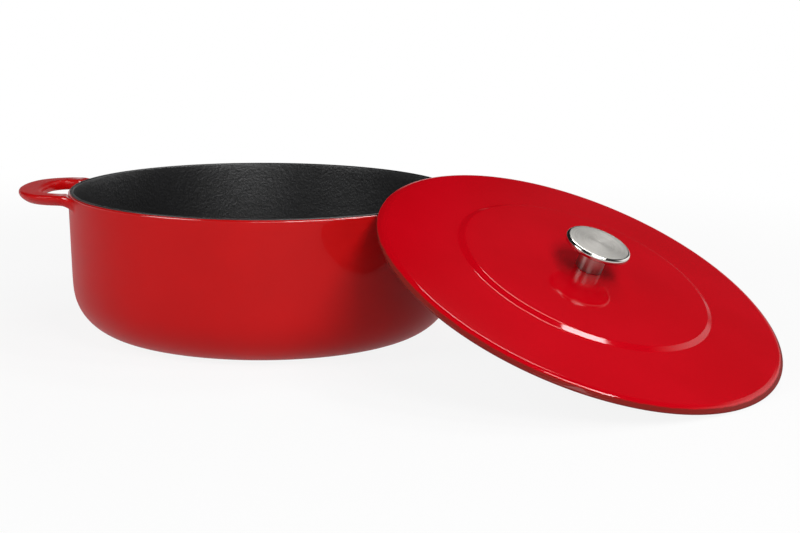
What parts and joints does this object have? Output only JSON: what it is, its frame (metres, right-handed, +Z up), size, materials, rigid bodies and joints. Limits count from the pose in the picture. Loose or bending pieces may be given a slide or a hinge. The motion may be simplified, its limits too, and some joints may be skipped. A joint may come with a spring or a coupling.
{
  "type": "dutch oven",
  "caption": "Round enamelled cast-iron dutch oven with loop handles; its domed lid with a steel knob is off and leans on the rim.",
  "frame": {"origin": "middle of the pot's flat base, on the surface that the pot and the lid's low edge stand on", "axes": "+Z up along the pot's axis; X through the two loop handles, +X towards the side where the lid leans; -Y towards the front, where the lid's low edge lies"},
  "size_m": [0.5258, 0.4053, 0.118],
  "materials": {
    "red_enamel": "gloss red enamel on cast iron",
    "black_enamel": "matte black enamel with a fine pebbled grain",
    "brushed_steel": "stainless steel, brushed top and polished edge",
    "polished_steel": "stainless steel, polished",
    "zinc_steel": "zinc-plated steel"
  },
  "bodies": {
    "pot": {"pot_casting": "red_enamel", "pot_lining": "black_enamel"},
    "lid": {"lid_casting": "red_enamel", "lid_lining": "black_enamel", "knob_cap": "brushed_steel", "knob_stem": "polished_steel", "knob_screw": "zinc_steel", "spring_washer": "zinc_steel", "flat_washer": "zinc_steel"}
  },
  "joints": [
    {"name": "lid_lift", "type": "slide", "parent": "pot", "child": "lid", "axis": [0, 0, 1], "range_m": [0, 0.16]}
  ]
}
